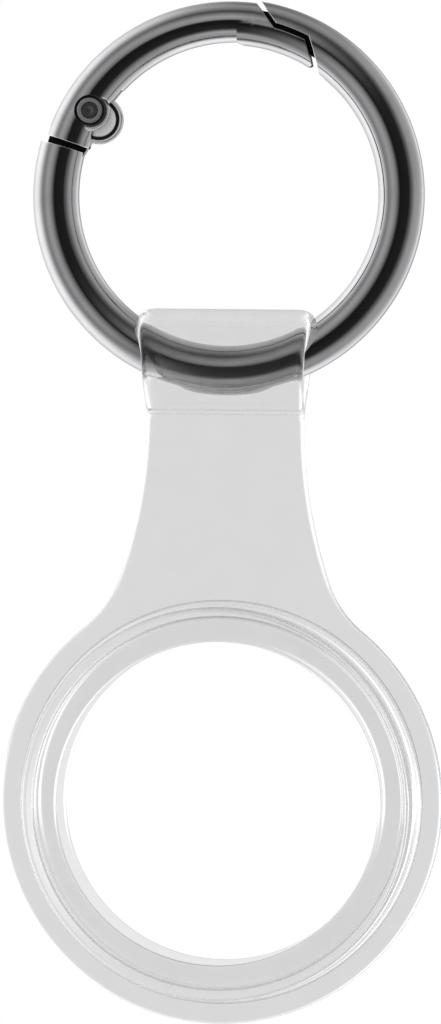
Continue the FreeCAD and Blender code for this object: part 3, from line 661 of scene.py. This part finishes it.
def rivet_metal():
    """Dull plating on the peened rivet, with painted shade in its middle and a painted highlight in a band
    round its head.
    """
    material, tree, shader = new_material("rivet_nickel")
    off = distance_from(tree, pivot)
    tone = shade(tree, noise(tree, mottle_size * MM, CLOUD_DETAIL), *RIVET_TONES)
    # Painted shade in the middle of the rivet head and a painted highlight in a band round it
    middle = step_up(tree, off, (rivet_shaded_middle + cam_blend) * MM, rivet_shaded_middle * MM)
    band = between(tree, off, *(radius * MM for radius in rivet_highlight_band), cam_blend / 2 * MM)
    tone = mix_colours(tree, middle, tone, RIVET_SHADED_MIDDLE_TONE)
    tone = mix_colours(tree, band, tone, RIVET_HIGHLIGHT_TONE)
    tree.links.new(tone, shader.inputs["Base Color"])
    metallic = blend_values(tree, band, RIVET_METALLIC, RIVET_HIGHLIGHT_METALLIC)
    tree.links.new(metallic, shader.inputs["Metallic"])
    specks = noise(tree, speck_size * MM, SPECK_DETAIL)
    tree.links.new(spread(tree, specks, *RIVET_POLISH), shader.inputs["Roughness"])
    bump(tree, shader, specks, rivet_relief * MM, RIVET_STRENGTH)
    return material


def ring_metal():
    """Dark polished plating on drawn wire, with painted shade that makes its gaps black, painted
    highlights on the gaps' edges, painted shade in the rivet's recess and a painted dark reflection in an
    arc on the tongue's end, which is otherwise pale and dull.
    """
    material, tree, shader = new_material("dark_nickel")
    plating = shade(tree, noise(tree, cloud_size * MM, CLOUD_DETAIL), *PLATING_TONES)
    rounded, edge_highlight = rounded_normal_and_highlight(tree)
    # A painted highlight lightens the rounded edges at the gaps
    plating = mix_colours(tree, edge_highlight, plating, EDGE_HIGHLIGHT_TONE)
    inner = inner_faces(tree)
    dull = math_node(tree, "MULTIPLY", inner, around_hinge(tree))
    # A painted dark reflection in an arc on the rounded rim of the tongue's turned end
    from_cam = distance_from(tree, cam_centre)
    dark_arc = between(tree, from_cam, cam_dark_arc * MM, cam_rim * MM, cam_blend * MM)
    # Painted shade in the recess round the rivet
    recess_shade = between(tree, distance_from(tree, pivot), 0.0, recess_radius * MM, cam_blend * MM)
    # Painted shade: the cut faces and the deep flat faces in the gaps go near black
    tone = mix_colours(tree, inner, plating, GAP_SHADE_TONE)
    tone = mix_colours(tree, dull, tone, mix_colours(tree, dark_arc, TURNED_TONE, DARK_ARC_TONE))
    tree.links.new(mix_colours(tree, recess_shade, tone, RECESS_SHADE_TONE), shader.inputs["Base Color"])
    pale = math_node(tree, "SUBTRACT", dull, recess_shade)
    pale = math_node(tree, "MAXIMUM", math_node(tree, "SUBTRACT", pale, dark_arc), 0.0)
    tree.links.new(math_node(tree, "SUBTRACT", 1.0, pale), shader.inputs["Metallic"])
    streaks = drawn_streaks(tree, streak_width * MM)
    polish = spread(tree, streaks, *PLATING_POLISH)
    tree.links.new(blend_values(tree, inner, polish, CUT_ROUGHNESS), shader.inputs["Roughness"])
    relief = bump(tree, shader, streaks, streak_relief * MM, STREAK_STRENGTH)
    tree.links.new(rounded, relief.inputs["Normal"])
    return material


def clear_plastic(name, dull, clear, gloss):
    """Clear soft plastic with a grey cast and a faintly uneven moulded skin."""
    material, tree, shader = new_material(name)
    shader.inputs["Transmission Weight"].default_value = 1.0
    shader.inputs["IOR"].default_value = PLASTIC_IOR
    skin = noise(tree, skin_size * MM, SKIN_DETAIL)
    tree.links.new(shade(tree, skin, (dull,) * 3, (clear,) * 3), shader.inputs["Base Color"])
    haze = noise(tree, gloss_size * MM, CLOUD_DETAIL)
    tree.links.new(spread(tree, haze, *gloss), shader.inputs["Roughness"])
    bump(tree, shader, skin, skin_relief * MM, SKIN_STRENGTH)
    return material


def studio_floor():
    """A plain pale floor below the hanging holder."""
    material, tree, shader = new_material("pale_floor")
    clouds = noise(tree, floor_cloud * MM, SKIN_DETAIL)
    tree.links.new(shade(tree, clouds, *FLOOR_TONES), shader.inputs["Base Color"])
    shader.inputs["Roughness"].default_value = FLOOR_ROUGHNESS
    mesh = bmesh.new()
    bmesh.ops.create_circle(mesh, cap_ends=True, segments=FLOOR_SIDES, radius=floor_radius * MM)
    floor = new_object("studio_floor", mesh, [material], SMOOTH_ANGLE)
    floor.location.z = (holder_low.z - floor_drop) * MM
    floor.visible_glossy = False
    floor.visible_transmission = False


def towards(azimuth, elevation):
    """A direction seen from the object: azimuth 0 is the front, positive to the right."""
    return Vector((sin(azimuth) * cos(elevation), -cos(azimuth) * cos(elevation), sin(elevation)))


def ramp_by_angle(tree, angle, stops):
    """Brightness that changes with an angle given as a share of a half turn; the stops are in degrees."""
    ramp = tree.nodes.new("ShaderNodeValToRGB")
    elements = ramp.color_ramp.elements
    for _ in stops[2:]:
        elements.new(0.5)
    for element, (degrees, level) in zip(elements, stops):
        element.position = degrees / 180
        element.color = (level, level, level, 1)
    tree.links.new(angle, ramp.inputs["Fac"])
    return ramp.outputs["Color"]


def dot_with(tree, vector, direction):
    """How far a vector points along a fixed direction of the studio."""
    node = tree.nodes.new("ShaderNodeVectorMath")
    node.operation = "DOT_PRODUCT"
    node.inputs[1].default_value = direction
    tree.links.new(vector, node.inputs[0])
    return node.outputs["Value"]


def studio_world():
    """A studio that is dark on the camera's side, grey at the sides and white behind the object."""
    world = bpy.data.worlds.new("studio")
    bpy.context.scene.world = world
    world.use_nodes = True
    tree = world.node_tree
    direction = tree.nodes.new("ShaderNodeTexCoord").outputs["Generated"]
    studio_front = towards(-VIEW_AZIMUTH, STUDIO_RISE)
    studio_right = towards(pi / 2 - VIEW_AZIMUTH, 0)
    studio_top = towards(-VIEW_AZIMUTH, pi / 2 + STUDIO_RISE)
    mirrored = math_node(tree, "ARCCOSINE", dot_with(tree, direction, studio_front))
    angle = math_node(tree, "DIVIDE", mirrored, pi)
    aside = math_node(tree, "MAXIMUM", math_node(tree, "SINE", mirrored), NEAR_ZERO)
    rightwards = math_node(tree, "DIVIDE", dot_with(tree, direction, studio_right), aside)
    upwards = math_node(tree, "DIVIDE", dot_with(tree, direction, studio_top), aside)
    sides = (STUDIO_LEFT, STUDIO_RIGHT, STUDIO_BOTTOM, STUDIO_TOP)
    left, right, bottom, top = (ramp_by_angle(tree, angle, stops) for stops in sides)
    flank = blend_values(tree, math_node(tree, "GREATER_THAN", rightwards, 0.0), left, right)
    crown = blend_values(tree, math_node(tree, "GREATER_THAN", upwards, 0.0), bottom, top)
    upright = math_node(tree, "POWER", math_node(tree, "ABSOLUTE", upwards), UPRIGHT_FOCUS)
    studio = blend_values(tree, upright, flank, crown)
    front = dot_with(tree, direction, towards(VIEW_AZIMUTH, 0))
    turned = step_up(tree, front, *CARD_TURN)
    height = dot_with(tree, direction, towards(0, pi / 2))
    off_axis = math_node(tree, "SUBTRACT", 1.0, squared(tree, front))
    off_axis = math_node(tree, "MAXIMUM", off_axis, NEAR_ZERO)
    steep = math_node(tree, "DIVIDE", squared(tree, height), off_axis)
    level = math_node(tree, "SUBTRACT", 1.0, steep)
    standing = step_up(tree, height, *CARD_FOOT)
    beside = math_node(tree, "MULTIPLY", math_node(tree, "MULTIPLY", level, standing), turned)
    cards = blend_values(tree, beside, 1.0, SIDE_CARDS)
    cards = blend_values(tree, step_up(tree, front, *CARD_FRONT), cards, FRONT_CARDS)
    path = tree.nodes.new("ShaderNodeLightPath")
    bounced = math_node(tree, "GREATER_THAN", path.outputs["Glossy Depth"], MET_METAL)
    in_and_out = math_node(tree, "GREATER_THAN", path.outputs["Transmission Depth"], CROSSED_WALLS)
    forwards = math_node(tree, "GREATER_THAN", front, 0.0)
    off_metal = math_node(tree, "MULTIPLY", math_node(tree, "MULTIPLY", bounced, in_and_out), forwards)
    clear_way = math_node(tree, "SUBTRACT", path.outputs["Is Transmission Ray"], off_metal)
    seen = blend_values(tree, clear_way, studio, cards)
    seen = blend_values(tree, path.outputs["Is Diffuse Ray"], seen, 1.0)
    shown = blend_values(tree, path.outputs["Is Camera Ray"], seen, 1.0)
    tree.links.new(shown, tree.nodes["Background"].inputs["Strength"])
    tree.nodes["Background"].inputs["Color"].default_value = (1, 1, 1, 1)


def key_lamp():
    """A soft lamp overhead, which gives the floor its shadow and stays out of the reflections."""
    data = bpy.data.lights.new("key_lamp", "AREA")
    data.size = lamp_size * MM
    data.energy = LAMP_POWER
    lamp = bpy.data.objects.new("key_lamp", data)
    lamp.location = lamp_place * MM
    lamp.rotation_euler = (-lamp.location).to_track_quat("-Z", "Y").to_euler()
    lamp.visible_glossy = False
    lamp.visible_transmission = False
    lamp.visible_camera = False
    bpy.context.scene.collection.objects.link(lamp)


def place_camera():
    """The photograph's camera, level with the middle of the picture."""
    data = bpy.data.cameras.new("photo_camera")
    data.sensor_width = SENSOR
    data.lens = SENSOR * VIEW_DISTANCE / FRAME_HEIGHT
    data.clip_start = VIEW_NEAR * MM
    data.clip_end = VIEW_FAR * MM
    camera = bpy.data.objects.new("photo_camera", data)
    upright = Matrix.Rotation(pi / 2, 4, "X")
    turn = Matrix.Rotation(VIEW_AZIMUTH, 4, "Z") @ upright @ Matrix.Rotation(VIEW_LEAN, 4, "Z")
    place = (VIEW_CENTRE + towards(VIEW_AZIMUTH, 0) * VIEW_DISTANCE) * MM
    camera.matrix_world = Matrix.Translation(place) @ turn
    bpy.context.scene.collection.objects.link(camera)
    bpy.context.scene.camera = camera


bpy.context.scene.view_settings.view_transform = "Standard"

# Light finds its way out of the plastic's edges after many reflections
bpy.context.scene.cycles.max_bounces = LIGHT_BOUNCES
bpy.context.scene.cycles.glossy_bounces = LIGHT_BOUNCES
bpy.context.scene.cycles.transmission_bounces = LIGHT_BOUNCES

dark_nickel = ring_metal()
metals = {
    "ring_body": dark_nickel,
    "gate": dark_nickel,
    "hinge_rivet": rivet_metal(),
    "gate_spring": spring_metal(),
}
for node, metal in metals.items():
    frame["nodes"][node].material_slots[0].material = metal

plastic = [clear_plastic(*skin) for skin in PLASTIC_SKINS]
holder = new_object("soft_holder", holder_mesh(), plastic, SMOOTH_ANGLE)
weighted = holder.modifiers.new("flat_faces", "WEIGHTED_NORMAL")
weighted.keep_sharp = True
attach(holder, "holder")
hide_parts("tag_holder")

studio_floor()
studio_world()
key_lamp()
place_camera()
